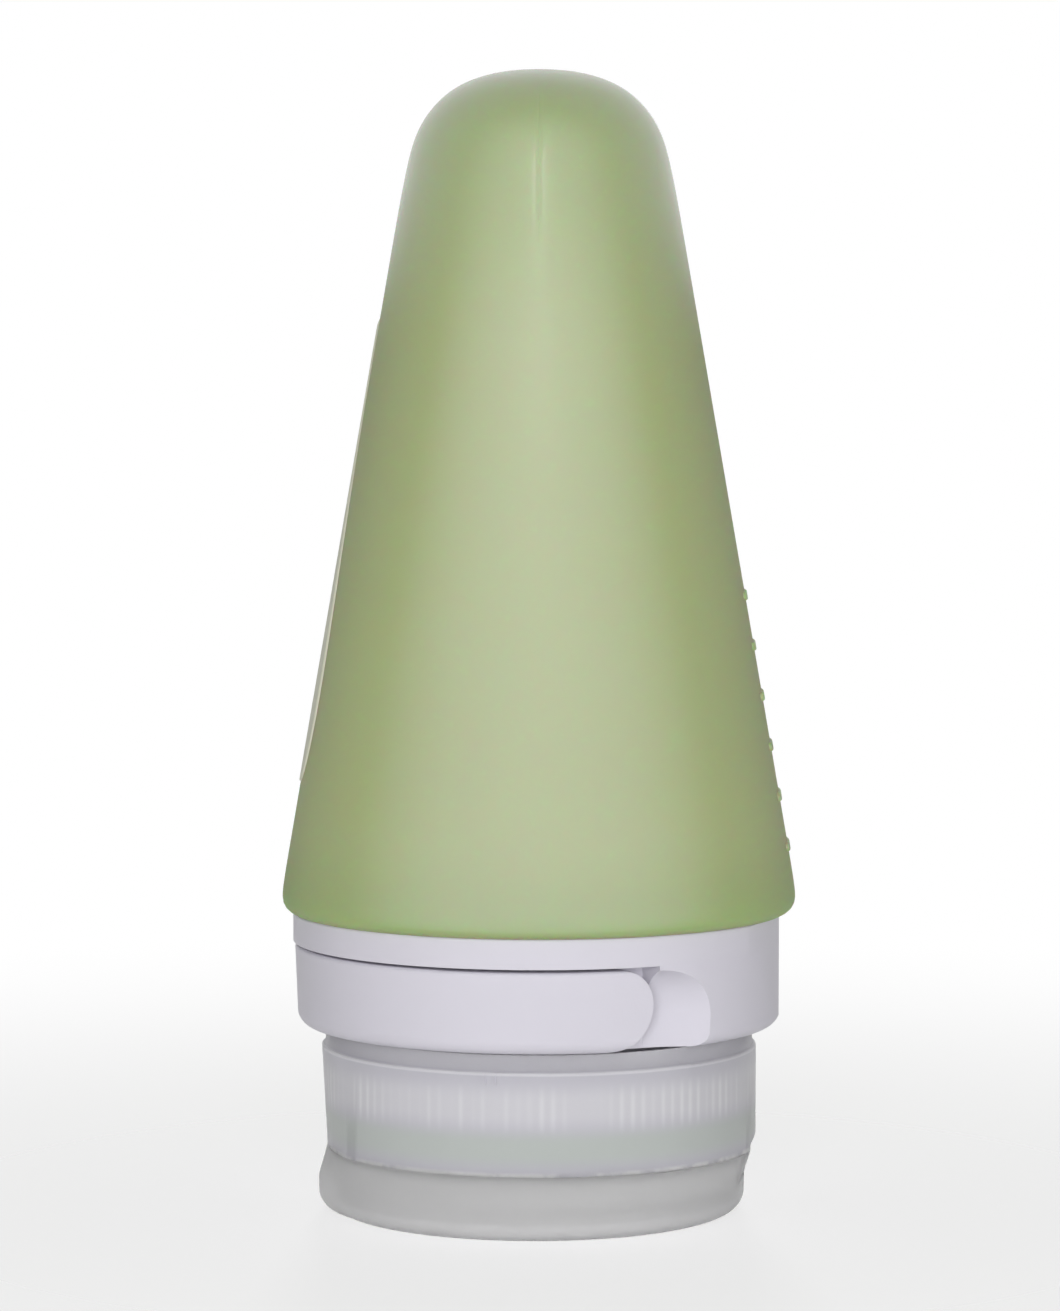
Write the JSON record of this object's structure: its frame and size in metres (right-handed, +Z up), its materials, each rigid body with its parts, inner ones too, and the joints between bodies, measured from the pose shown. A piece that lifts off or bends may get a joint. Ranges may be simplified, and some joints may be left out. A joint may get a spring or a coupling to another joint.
{
  "type": "travel silicone bottle",
  "caption": "Squeezable travel bottle of soft silicone that stands on a translucent screw cap with a hinged flip lid, with a rigid collar and a swing-out hanging loop.",
  "frame": {"origin": "on the floor under the bottle's axis, at the middle of the lid's flat foot", "axes": "+Z up along the bottle's axis from the lid to the closed end, +X to the hinge side of the lid, -Y to the front with the loop's tip"},
  "size_m": [0.0462, 0.0462, 0.1024],
  "materials": {
    "green_silicone": "soft matt, translucent",
    "pale_plastic": "satin, moulded",
    "milky_plastic": "milky, translucent, moulded",
    "pin_plastic": "plain, hard"
  },
  "bodies": {
    "bottle": {"silicone_tube": "green_silicone", "neck_insert": "pale_plastic", "collar": "pale_plastic", "loop_hinge_pin": "pin_plastic"},
    "loop": {"loop_arm": "pale_plastic"},
    "cap_seal": {"cap_gasket": "green_silicone"},
    "cap": {"cap_shell": "milky_plastic", "thread_insert": "milky_plastic", "no_drip_valve": "green_silicone", "valve_retainer": "milky_plastic", "lid_hinge_pin": "pin_plastic"},
    "lid": {"flip_lid": "milky_plastic"}
  },
  "joints": [
    {"name": "loop_swing", "type": "hinge", "parent": "bottle", "child": "loop", "pos_m": [-0.01908, 0.00694, 0.0205], "axis": [0, 0, -1], "range_deg": [0, 80]},
    {"name": "cap_travel", "type": "slide", "parent": "bottle", "child": "cap_seal", "axis": [0, 0, -1], "range_m": [0, 0.0053]},
    {"name": "cap_turn", "type": "hinge", "parent": "cap_seal", "child": "cap", "pos_m": [0, 0, 0.01], "axis": [0, 0, -1], "range_deg": [0, 540]},
    {"name": "lid_flip", "type": "hinge", "parent": "cap", "child": "lid", "pos_m": [0.018, 0, 0.0048], "axis": [0, -1, 0], "range_deg": [0, 110]}
  ],
  "couplings": [
    {"joint": "cap_travel", "follows": "cap_turn", "m_per_rad": 0.00055704}
  ]
}
